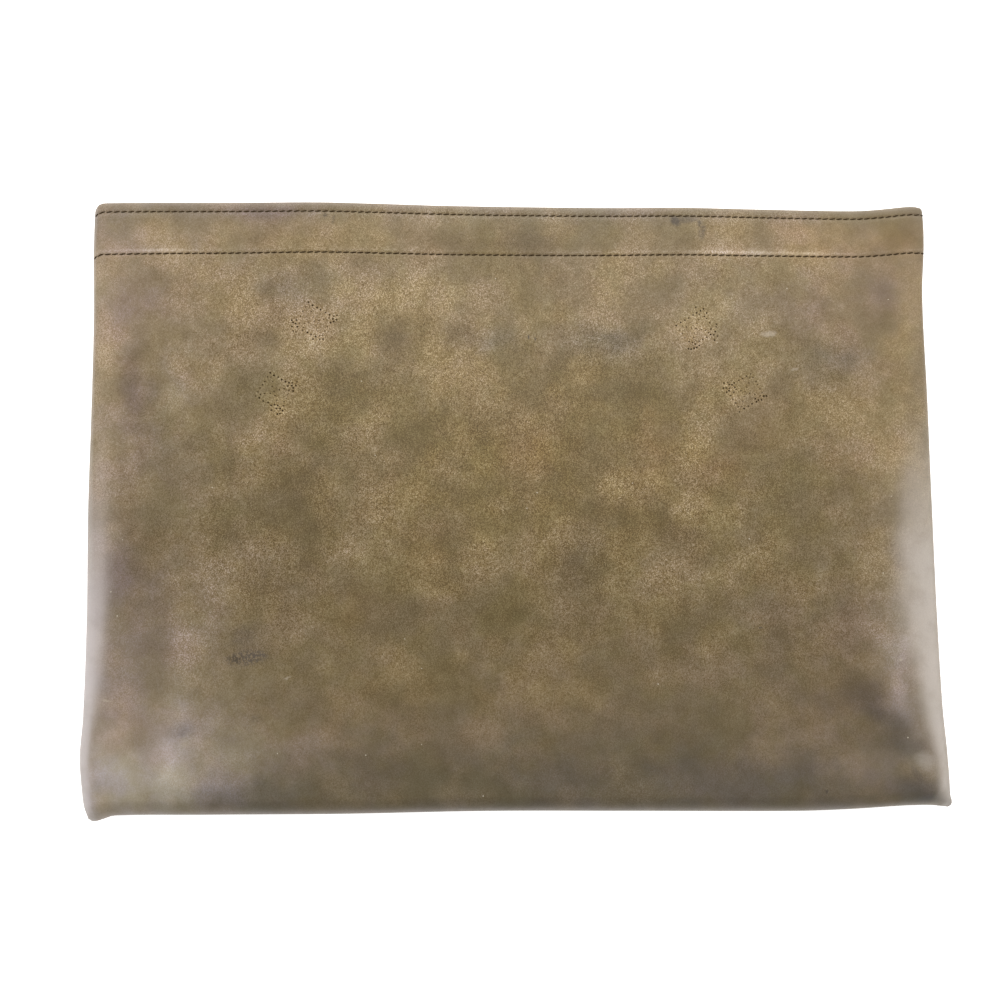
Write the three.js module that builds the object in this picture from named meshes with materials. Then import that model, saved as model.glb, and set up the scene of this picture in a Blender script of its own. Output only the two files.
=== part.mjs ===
// A leather document portfolio: an open pouch of two leather panels that are sewn face to face round both sides and
// the foot, turned right side out, and folded in along the mouth as a hem. It lies on its back.
// Millimetres, +X across the pouch, +Y from the foot to the mouth, +Z up off the surface that it lies on.

import * as THREE from 'three';

// Driving dimensions
const WIDTH = 386; // between the side seams, before the outline's own bulges
const HEIGHT = 277; // from the foot seam to the mouth
const WALL = 1.2; // one thickness of leather
const SEAM_GAP = 0.3; // between the two panels where they are sewn together
const SEAM_ALLOWANCE = 4.6; // leather turned in along the seam
const FOOT_ROUND = 8; // how far the rounding reaches in from the foot seam
const BEVEL = { left: 1.5, right: 1, none: 1, foot: 1.3 }; // 1 rounds an edge as an ellipse, 2 slopes it straight
const HEM_DEPTH = 26; // leather folded inside along the mouth
const HEM_SKIVE = 0.8; // slope of the hem's cut edge
const STITCH_ROWS = [4.5, 23.8]; // the hem's rows of thread, below the mouth
const STITCH_SINK = 0.35; // how far the thread pulls the leather in
const STITCH_REACH = 1.3; // half the width of the furrow along a row
const HEM_PUFF = 0.3; // rise of the doubled leather between the rows

const QUARTER_TURN = Math.PI / 2;

// How finely each panel is divided: steps round an edge, and plain steps across and up between the edges.
const EDGE_STEPS = 5;
const FOLD_STEPS = 4;
const CROWDING = 0.65; // how much closer the plain steps lie near the edges than in the middle
const FRONT_STEPS = { across: 26, up: 18 };
const BACK_STEPS = { across: 16, up: 10 };

const LEATHER = { roughness: 0.55, metalness: 0 };
const FRONT_COLOUR = 0x857352;
const BACK_COLOUR = 0x7c6a4b;

// Cross sections of the pouch, by height above the foot. left and right are how far each seam stands outside WIDTH,
// thick is the pouch's thickness, and roundLeft and roundRight are how far the rounding reaches in from each seam.
const SECTIONS = [
  { up: 0, left: -2.0, right: 1.2, thick: 12.4, roundLeft: 6.0, roundRight: 8.0 },
  { up: 2, left: -1.4, right: 3.0, thick: 12.8, roundLeft: 6.2, roundRight: 9.0 },
  { up: 6, left: -0.4, right: 1.7, thick: 13.3, roundLeft: 6.5, roundRight: 11.0 },
  { up: 14, left: 0.7, right: 1.7, thick: 13.9, roundLeft: 7.0, roundRight: 14.0 },
  { up: 28, left: 1.8, right: 0.8, thick: 14.3, roundLeft: 7.2, roundRight: 17.0 },
  { up: 46, left: 0.7, right: -0.2, thick: 14.5, roundLeft: 7.2, roundRight: 19.0 },
  { up: 90, left: -0.1, right: -1.1, thick: 14.3, roundLeft: 6.8, roundRight: 18.0 },
  { up: 138, left: 0.5, right: -1.5, thick: 13.7, roundLeft: 5.0, roundRight: 12.0 },
  { up: 184, left: 0.2, right: -1.7, thick: 12.7, roundLeft: 3.6, roundRight: 5.5 },
  { up: 220, left: 0.2, right: -2.0, thick: 11.7, roundLeft: 3.2, roundRight: 3.4 },
  { up: 238, left: 0.6, right: -2.0, thick: 11.2, roundLeft: 3.2, roundRight: 3.2 },
  { up: 256, left: 1.1, right: -0.4, thick: 10.8, roundLeft: 3.3, roundRight: 3.0 },
  { up: 277, left: 1.1, right: -0.5, thick: 10.5, roundLeft: 3.6, roundRight: 3.0 },
];

// The mouth's line: how far it rises above HEIGHT, by distance from the middle.
const MOUTH = [
  { across: -193, rise: -3.2 },
  { across: -191, rise: -0.7 },
  { across: -187, rise: 0.2 },
  { across: -130, rise: 0.4 },
  { across: -90, rise: 1.1 },
  { across: -62, rise: 0.2 },
  { across: -30, rise: -0.6 },
  { across: 35, rise: -1.2 },
  { across: 80, rise: -1.0 },
  { across: 116, rise: -1.8 },
  { across: 160, rise: -2.2 },
  { across: 175, rise: -1.1 },
  { across: 184, rise: 0.0 },
  { across: 189, rise: -0.2 },
  { across: 193, rise: -2.0 },
];

// The foot's line: how far it drops below the foot's own level, with the ear of the turned seam at the left corner.
const FOOT = [
  { across: -193, drop: 0.7 },
  { across: -189, drop: 2.0 },
  { across: -185, drop: 1.3 },
  { across: -179, drop: -0.4 },
  { across: -140, drop: -0.2 },
  { across: -80, drop: 0.2 },
  { across: -18, drop: -0.2 },
  { across: 45, drop: 0.6 },
  { across: 124, drop: 1.7 },
  { across: 150, drop: 1.1 },
  { across: 172, drop: -0.2 },
  { across: 193, drop: 0.6 },
];

// Soft folds and dents of the upper face: the middle of each, its half length and half width, the turn of its length
// from the X axis in degrees, and its rise.
const FOLDS = [
  { across: 0, up: 120, length: 150, width: 85, turn: 0, rise: 0.8 },
  { across: 0, up: 15, length: 165, width: 7, turn: 0, rise: -0.5 },
  { across: -157, up: 40, length: 36, width: 8, turn: 88, rise: 0.7 },
  { across: -168, up: 168, length: 80, width: 9, turn: 90, rise: -0.5 },
  { across: 163, up: 150, length: 85, width: 10, turn: 92, rise: -0.5 },
  { across: 172, up: 33, length: 15, width: 7, turn: 65, rise: -1.1 },
  { across: 179, up: 18, length: 12, width: 6, turn: 55, rise: 0.9 },
  { across: 164, up: 7, length: 13, width: 5, turn: 15, rise: -1.1 },
  { across: 186, up: 272, length: 16, width: 12, turn: 0, rise: 1.5 },
];

// A smooth curve through one column of a table, as a function of another column.
function curveThrough(rows, key, column) {
  const at = rows.map((row) => row[key]);
  const value = rows.map((row) => row[column]);
  const last = rows.length - 1;
  const slope = value.map((_, i) => {
    const before = Math.max(i - 1, 0);
    const after = Math.min(i + 1, last);
    return (value[after] - value[before]) / (at[after] - at[before]);
  });
  return (place) => {
    const t = THREE.MathUtils.clamp(place, at[0], at[last]);
    const i = Math.min(at.findLastIndex((knot) => knot <= t), last - 1);
    const step = at[i + 1] - at[i];
    const s = (t - at[i]) / step;
    const rest = 1 - s;
    const ends = value[i] * (1 + 2 * s) * rest * rest + value[i + 1] * s * s * (3 - 2 * s);
    return ends + step * s * rest * (slope[i] * rest - slope[i + 1] * s);
  };
}

const section = {};
for (const column of ['left', 'right', 'thick', 'roundLeft', 'roundRight']) {
  section[column] = curveThrough(SECTIONS, 'up', column);
}
const mouthRise = curveThrough(MOUTH, 'across', 'rise');
const footDrop = curveThrough(FOOT, 'across', 'drop');

// Height that the folds add to the upper face at one place.
function foldRise(across, up) {
  let rise = 0;
  for (const fold of FOLDS) {
    const turn = THREE.MathUtils.degToRad(fold.turn);
    const dx = across - fold.across;
    const dy = up - fold.up;
    const lengthwise = (dx * Math.cos(turn) + dy * Math.sin(turn)) / fold.length;
    const crosswise = (dy * Math.cos(turn) - dx * Math.sin(turn)) / fold.width;
    rise += fold.rise * Math.exp(-lengthwise * lengthwise - crosswise * crosswise);
  }
  return rise;
}

// Height that the hem adds at a distance below the mouth: a furrow along each row of thread and a swell between them.
function hemRise(below) {
  const [upper, lower] = STITCH_ROWS;
  let rise = 0;
  for (const row of STITCH_ROWS) {
    rise -= STITCH_SINK * Math.max(0, 1 - Math.abs(below - row) / STITCH_REACH);
  }
  if (below > upper && below < lower) {
    rise += HEM_PUFF * Math.sin((Math.PI * (below - upper)) / (lower - upper));
  }
  return rise;
}

// Shares from 0 to 1 in a number of steps, crowded towards both ends.
function crowdedShares(steps) {
  return Array.from({ length: steps + 1 }, (_, i) => {
    const turn = (2 * Math.PI * i) / steps;
    return (turn - CROWDING * Math.sin(turn)) / (2 * Math.PI);
  });
}

// Stations across: round the left edge, over the middle, and round the right edge. turn runs from 0 at the seam.
function stationsAcross(steps) {
  const stations = [];
  for (let i = 0; i < EDGE_STEPS; i += 1) {
    stations.push({ edge: 'left', turn: (QUARTER_TURN * i) / EDGE_STEPS });
  }
  for (const share of crowdedShares(steps)) {
    stations.push({ edge: 'none', share, turn: QUARTER_TURN });
  }
  for (let i = EDGE_STEPS - 1; i >= 0; i -= 1) {
    stations.push({ edge: 'right', turn: (QUARTER_TURN * i) / EDGE_STEPS });
  }
  return stations;
}

// Stations up: round the foot, over the middle to the hem's cut edge, then through the hem's rows to the mouth.
function stationsUp(steps) {
  const stations = [];
  for (let i = 0; i < EDGE_STEPS; i += 1) {
    stations.push({ part: 'foot', turn: (QUARTER_TURN * i) / EDGE_STEPS, wall: WALL });
  }
  for (const share of crowdedShares(steps)) {
    stations.push({ part: 'middle', share, turn: QUARTER_TURN, wall: WALL });
  }
  const [upper, lower] = STITCH_ROWS;
  const hemRows = [HEM_DEPTH - HEM_SKIVE];
  hemRows.push(lower, lower - STITCH_REACH, (lower + upper) / 2, upper + STITCH_REACH, upper, WALL);
  for (const below of hemRows) {
    stations.push({ part: 'hem', below, turn: QUARTER_TURN, wall: 2 * WALL });
  }
  return stations;
}

// Distance across of a station between seams at xLeft and xRight, set in from them by inset.
function placeAcross(station, xLeft, xRight, roundLeft, roundRight, inset) {
  const left = xLeft + inset;
  const right = xRight - inset;
  const reach = 1 - Math.cos(station.turn) ** BEVEL[station.edge];
  if (station.edge === 'left') {
    return left + (roundLeft - inset) * reach;
  }
  if (station.edge === 'right') {
    return right - (roundRight - inset) * reach;
  }
  return THREE.MathUtils.lerp(left + roundLeft - inset, right - roundRight + inset, station.share);
}

// Distance up of a station between a foot at yFoot and a mouth at yMouth, set in from the foot by inset.
function placeUp(station, yFoot, yMouth, inset) {
  if (station.part === 'foot') {
    return yFoot + inset + (FOOT_ROUND - inset) * (1 - Math.cos(station.turn) ** BEVEL.foot);
  }
  if (station.part === 'hem') {
    return yMouth - station.below;
  }
  return THREE.MathUtils.lerp(yFoot + FOOT_ROUND, yMouth - HEM_DEPTH, station.share);
}

// One point of a panel. side is 1 for the front and -1 for the back. inset is the distance in from the outer face,
// and depth is how far from the sewn face the surface starts at the seam.
function panelPoint(side, across, up, inset, depth) {
  const nominalUp = placeUp(up, 0, HEIGHT, 0);
  const roundLeft = section.roundLeft(nominalUp);
  const roundRight = section.roundRight(nominalUp);
  const nominalAcross = placeAcross(across, -WIDTH / 2, WIDTH / 2, roundLeft, roundRight, 0);
  const xLeft = -WIDTH / 2 - section.left(nominalUp);
  const xRight = WIDTH / 2 + section.right(nominalUp);
  const x = placeAcross(across, xLeft, xRight, roundLeft, roundRight, inset);
  const y = placeUp(up, -footDrop(nominalAcross), HEIGHT + mouthRise(nominalAcross), inset);
  const seam = section.thick(nominalUp) / 2;
  let crown = seam - SEAM_GAP / 2;
  if (up.part === 'hem') {
    crown += side > 0 ? hemRise(up.below) : Math.min(0, hemRise(up.below));
  }
  if (side > 0) {
    crown += foldRise(nominalAcross, nominalUp);
  }
  const swell = Math.sin(across.turn) ** BEVEL[across.edge] * Math.sin(up.turn) ** BEVEL.foot;
  const height = SEAM_GAP / 2 + depth + (crown - inset - depth) * swell;
  return new THREE.Vector3(x, y, seam + side * height);
}

// Collects the points and faces of one closed surface.
class Surface {
  constructor(side) {
    this.points = [];
    this.faces = [];
    this.side = side;
  }

  add(point) {
    this.points.push(point.x, point.y, point.z);
    return this.points.length / 3 - 1;
  }

  triangle(a, b, c) {
    if (this.side > 0) {
      this.faces.push(a, b, c);
    } else {
      this.faces.push(a, c, b);
    }
  }

  // Skins two rows of points with a strip of triangles.
  strip(first, second) {
    for (let i = 0; i + 1 < first.length; i += 1) {
      this.triangle(first[i], first[i + 1], second[i + 1]);
      this.triangle(first[i], second[i + 1], second[i]);
    }
  }

  geometry() {
    const shape = new THREE.BufferGeometry();
    shape.setAttribute('position', new THREE.Float32BufferAttribute(this.points, 3));
    shape.setIndex(this.faces);
    shape.computeVertexNormals();
    return shape;
  }
}

// The row of points round the left seam, the foot seam and the right seam of a grid, from mouth to mouth.
function seamPath(grid) {
  const left = grid.map((row) => row[0]).reverse();
  const right = grid.map((row) => row[row.length - 1]);
  return [...left, ...grid[0].slice(1, -1), ...right];
}

// One leather panel: its outer and inner faces, the fold that joins them at the mouth, and the seam allowance that
// joins them round the sides and the foot.
function panelGeometry(side, steps) {
  const across = stationsAcross(steps.across);
  const up = stationsUp(steps.up);
  const surface = new Surface(side);
  const gridOf = (insetOf, depth) =>
    up.map((rise) =>
      across.map((station) => surface.add(panelPoint(side, station, rise, insetOf(rise), depth))),
    );
  const outer = gridOf(() => 0, 0);
  const inner = gridOf((rise) => rise.wall, WALL);
  for (let j = 0; j + 1 < up.length; j += 1) {
    surface.strip(outer[j], outer[j + 1]);
    surface.strip(inner[j + 1], inner[j]);
  }

  // The mouth fold is a half round from the outer face to the hem's inner face.
  const top = up.length - 1;
  const pointAt = (index) => new THREE.Vector3().fromArray(surface.points, 3 * index);
  const foldRows = [outer[top]];
  for (let k = 1; k < FOLD_STEPS; k += 1) {
    const turn = (Math.PI * k) / FOLD_STEPS;
    foldRows.push(
      outer[top].map((index, i) => {
        const point = pointAt(index).lerp(pointAt(inner[top][i]), (1 - Math.cos(turn)) / 2);
        point.y += WALL * Math.sin(turn);
        return surface.add(point);
      }),
    );
  }
  foldRows.push(inner[top]);
  for (let k = 0; k < FOLD_STEPS; k += 1) {
    surface.strip(foldRows[k], foldRows[k + 1]);
  }

  // The seam allowance lies flat against the other panel: its sewn face, its cut edge and its inner face.
  const outerPath = seamPath(outer);
  const innerPath = seamPath(inner);
  const stationsOnPath = seamPath(up.map((rise) => across.map((station) => ({ station, rise }))));
  const allowance = (depth) =>
    stationsOnPath.map(({ station, rise }) =>
      surface.add(panelPoint(side, station, rise, SEAM_ALLOWANCE, depth)),
    );
  const sewn = allowance(0);
  const cut = allowance(WALL);
  surface.strip(sewn, outerPath);
  surface.strip(cut, sewn);
  surface.strip(innerPath, cut);

  // The ends of the allowance at the mouth.
  for (const end of [0, outerPath.length - 1]) {
    const column = end === 0 ? 0 : across.length - 1;
    const rim = [sewn[end], ...foldRows.map((row) => row[column])];
    for (let k = 0; k + 1 < rim.length; k += 1) {
      if (end === 0) {
        surface.triangle(cut[end], rim[k], rim[k + 1]);
      } else {
        surface.triangle(cut[end], rim[k + 1], rim[k]);
      }
    }
  }
  return surface.geometry();
}

function panel(name, side, steps, color) {
  const material = new THREE.MeshStandardMaterial({ ...LEATHER, color });
  const mesh = new THREE.Mesh(panelGeometry(side, steps), material);
  mesh.name = name;
  return mesh;
}

// The finished pouch, with its origin under the middle of its box.
const portfolio = new THREE.Group();
portfolio.add(panel('front_panel', 1, FRONT_STEPS, FRONT_COLOUR));
portfolio.add(panel('back_panel', -1, BACK_STEPS, BACK_COLOUR));
const box = new THREE.Box3().setFromObject(portfolio);
const middle = box.getCenter(new THREE.Vector3());
portfolio.position.set(-middle.x, -middle.y, -box.min.z);

export default portfolio;
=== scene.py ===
"""A worn leather document portfolio that lies on its back on a white table, seen from above.

Each leather panel is a closed shell with its hem, its seam allowance, the pull of its stitches
and the needle holes of a handle that is gone. Lengths in the tables are millimetres in the
pouch's own plane: across from its middle and up from its foot seam.
"""

import math
from collections import namedtuple

import bpy
import numpy as np
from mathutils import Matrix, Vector
from mathutils.geometry import delaunay_2d_cdt


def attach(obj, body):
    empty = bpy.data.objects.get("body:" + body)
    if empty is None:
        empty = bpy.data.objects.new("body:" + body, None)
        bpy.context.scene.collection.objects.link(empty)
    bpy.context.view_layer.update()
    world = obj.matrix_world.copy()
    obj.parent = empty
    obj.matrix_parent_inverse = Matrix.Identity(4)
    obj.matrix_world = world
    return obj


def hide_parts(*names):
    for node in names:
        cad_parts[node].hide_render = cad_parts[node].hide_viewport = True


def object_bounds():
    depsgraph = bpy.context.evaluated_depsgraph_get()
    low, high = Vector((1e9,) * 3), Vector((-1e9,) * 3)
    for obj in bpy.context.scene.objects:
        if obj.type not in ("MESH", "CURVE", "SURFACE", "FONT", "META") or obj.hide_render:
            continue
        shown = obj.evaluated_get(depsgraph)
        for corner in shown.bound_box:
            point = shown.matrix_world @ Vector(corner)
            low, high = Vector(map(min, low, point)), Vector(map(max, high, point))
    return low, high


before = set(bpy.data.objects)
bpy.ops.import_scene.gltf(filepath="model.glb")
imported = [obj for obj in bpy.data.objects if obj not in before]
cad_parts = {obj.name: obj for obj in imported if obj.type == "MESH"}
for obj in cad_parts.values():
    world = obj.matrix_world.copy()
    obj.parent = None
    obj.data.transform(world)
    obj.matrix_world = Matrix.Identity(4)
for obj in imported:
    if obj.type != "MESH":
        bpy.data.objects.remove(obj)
cad_low, cad_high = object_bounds()

MM = 0.001
QUARTER_TURN = math.pi / 2

# Driving dimensions of the pouch
WIDTH = 386
HEIGHT = 277
WALL = 1.2
SEAM_GAP = 0.12
SEAM_ALLOWANCE = 4.6
SEAM_GROOVE = 0.45
SEAM_GROOVE_REACH = 0.9
FOOT_ROUND = 8
BEVEL_LEFT = 1.5
BEVEL_RIGHT = 1.0
BEVEL_FOOT = 1.3
HEM_DEPTH = 26
HEM_SKIVE = 0.8
HEM_TAPER = 0.055
STITCH_ROWS = (4.4, 23.3)
STITCH_SINK = 0.28
STITCH_REACH = 0.78
BRIDGE_RISE = 0.10
BRIDGE_REACH = 0.6
HEM_PUFF = 0.3
CORNER_LEFT = -190.5
CORNER_RIGHT = 188.5
CORNER_DEPTH = 4.0
SHARP_ANGLE = math.radians(55)

# Stands for a distance below the mouth anywhere outside the hem
FAR_BELOW = 10.0 * HEM_DEPTH

# Slow waves of the outer faces
Wave = namedtuple("Wave", "height size seed")
WAVES = (Wave(0.10, 34, 3), Wave(0.05, 13, 5))

# The lattice of random values under the soft noise, and where the pouch lies on it
LATTICE = 97
LATTICE_ACROSS = 40.3
LATTICE_UP = 7.7

# How finely the shells are divided
EDGE_STEPS = 12
ACROSS_STEPS = 232
FRONT_UP_STEPS = 102
BACK_UP_STEPS = 70
FOLD_STEPS = 6
HEM_OFFSETS = (-1.9, -1.3, -0.9, -0.45, 0.0, 0.45, 0.9, 1.3, 1.9)
HEM_PLAIN_ROWS = (21.0, 18.8, 16.5, 14.1, 11.8, 9.5, 7.4, 1.9, 1.2)

# The hem's thread
THREAD_RADII = (0.285, 0.30)
THREAD_SIDES = 10
THREAD_STEPS = 12
THREAD_SLANT = 0.4
THREAD_PLY = 0.14
THREAD_START = 0.015
THREAD_DIVE = 1.5
THREAD_ARCH = 0.24
THREAD_END = 0.75
FRONT_STAND = 0.5
BACK_STAND = -0.3

# The needle holes, and how far around a tab's middle the front is cut anew for them
HOLE_PITCH = 2.2
HOLE_RADIUS = 0.40
HOLE_SIDES = 8
HOLE_JITTER = 0.16
HOLE_SPACING = 1.1
HOLE_CLEARANCE = 1.5 * HOLE_RADIUS
HOLE_SEED = 11
SEWN_CLEAR = (0.6, 1.1)
CROWD_CLEAR = (0.4, 1.0)
CROWD_HOLES = 14
CROWD_REACH = 3.2
FAINT_REACH = 0.75
FAINT_DARK = 0.3
PATCH_REACH = 12.5
PATCH_MARGIN = 2
CUT_TOLERANCE = 1e-7
Hole = namedtuple("Hole", "across up clear")
# Each ring of a hole: how far out it lies, how deep it sinks, its share of the painted shade inside the
# hole, and how pale it is
HoleRing = namedtuple("HoleRing", "reach sink dark pale")
HOLE_RINGS = (
    HoleRing(1.32, -0.06, 0.0, 1.15),
    HoleRing(0.95, 0.06, 0.9, 1.0),
    HoleRing(0.7, 0.7, 1.0, 1.0),
)

# Cross sections of the pouch, by height above the foot: how far each seam stands outside WIDTH,
# the thickness, and how far the rounding reaches in from each seam
Section = namedtuple("Section", "up left right thick round_left round_right")
SECTIONS = (
    Section(0, -2.0, 2.0, 12.4, 6.0, 8.0),
    Section(1.2, -1.7, 3.2, 12.6, 6.1, 8.6),
    Section(3, -1.2, 3.4, 12.9, 6.3, 9.4),
    Section(6, -0.4, 2.5, 13.3, 6.5, 11.0),
    Section(14, 0.7, 2.2, 13.9, 7.0, 14.0),
    Section(28, 1.8, 1.5, 14.3, 7.2, 17.0),
    Section(46, 0.7, 0.3, 14.5, 7.2, 19.0),
    Section(90, 0.1, -0.6, 14.3, 6.8, 18.0),
    Section(138, 0.6, -1.0, 13.7, 5.0, 12.0),
    Section(184, 0.2, -1.3, 12.7, 3.6, 5.5),
    Section(220, 0.2, -1.8, 11.7, 3.2, 3.4),
    Section(238, 0.6, -1.5, 11.2, 3.2, 3.2),
    Section(256, 1.2, -0.1, 10.8, 3.3, 3.0),
    Section(277, 1.2, -0.3, 10.5, 3.6, 3.0),
)

# The mouth's rise above HEIGHT and the foot's drop, by distance from the middle
Rise = namedtuple("Rise", "across rise")
MOUTH = (
    Rise(-193, -4.8), Rise(-192.4, -3.1), Rise(-191.3, -1.7), Rise(-190, -0.8), Rise(-187, 0.3),
    Rise(-130, 0.7), Rise(-90, 1.1), Rise(-62, 0.5), Rise(-30, -0.4), Rise(35, -1.1),
    Rise(80, -0.9), Rise(116, -1.6), Rise(160, -2.2), Rise(175, -1.4), Rise(184, -0.6),
    Rise(189, -0.8), Rise(193, -2.5),
)
FOOT = (
    Rise(-193, -1.1), Rise(-190.5, -2.0), Rise(-186.5, -1.2), Rise(-181, 0.4), Rise(-140, 0.2),
    Rise(-80, -0.2), Rise(-18, 0.2), Rise(45, -0.6), Rise(124, -1.7), Rise(150, -1.1),
    Rise(172, 0.0), Rise(184, 0.1), Rise(189, -0.4), Rise(193, -1.0),
)

# Soft folds and dents of the upper face
Fold = namedtuple("Fold", "across up long wide turn rise")
FOLDS = (
    Fold(0, 120, 150, 85, 0, 0.8),
    Fold(0, 15, 165, 7, 0, -0.5),
    Fold(-157, 40, 36, 8, 88, 0.7),
    Fold(-168, 168, 80, 9, 90, -0.5),
    Fold(163, 150, 85, 10, 92, -0.5),
    Fold(172, 33, 15, 7, 65, -1.1),
    Fold(179, 18, 12, 6, 55, 0.9),
    Fold(164, 7, 13, 5, 15, -1.1),
    Fold(186, 272, 16, 12, 0, 1.5),
)

# What the years did to the colour, and, in the sheen tints and some clouds marked below, painted light
# and shade: each tint multiplies the leather's own colour, and leans it to the pale sandy finish,
# above 0, or to the dark smooth one.
Tint = namedtuple("Tint", "red green blue lean")
TINTS = {
    "tan": Tint(1.09, 1.095, 1.10, 0.5),
    "dark": Tint(0.85, 0.845, 0.82, -0.5),
    "olive": Tint(0.90, 0.91, 0.85, -0.3),
    "red": Tint(1.03, 0.985, 0.965, 0.0),
    "plum": Tint(0.95, 0.93, 1.05, -0.2),
    "amber": Tint(0.98, 0.955, 0.83, 0.0),
    "pale": Tint(1.21, 1.21, 1.29, 0.1),
    "sheen_grey": Tint(1.69, 1.84, 2.42, 0.0),
    "sheen_white": Tint(1.45, 1.52, 1.74, 0.0),
    "slate": Tint(0.72, 0.79, 1.01, -0.3),
    "haze": Tint(0.96, 0.985, 1.13, -0.2),
    "smoke": Tint(0.72, 0.75, 0.84, -0.3),
}
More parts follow.
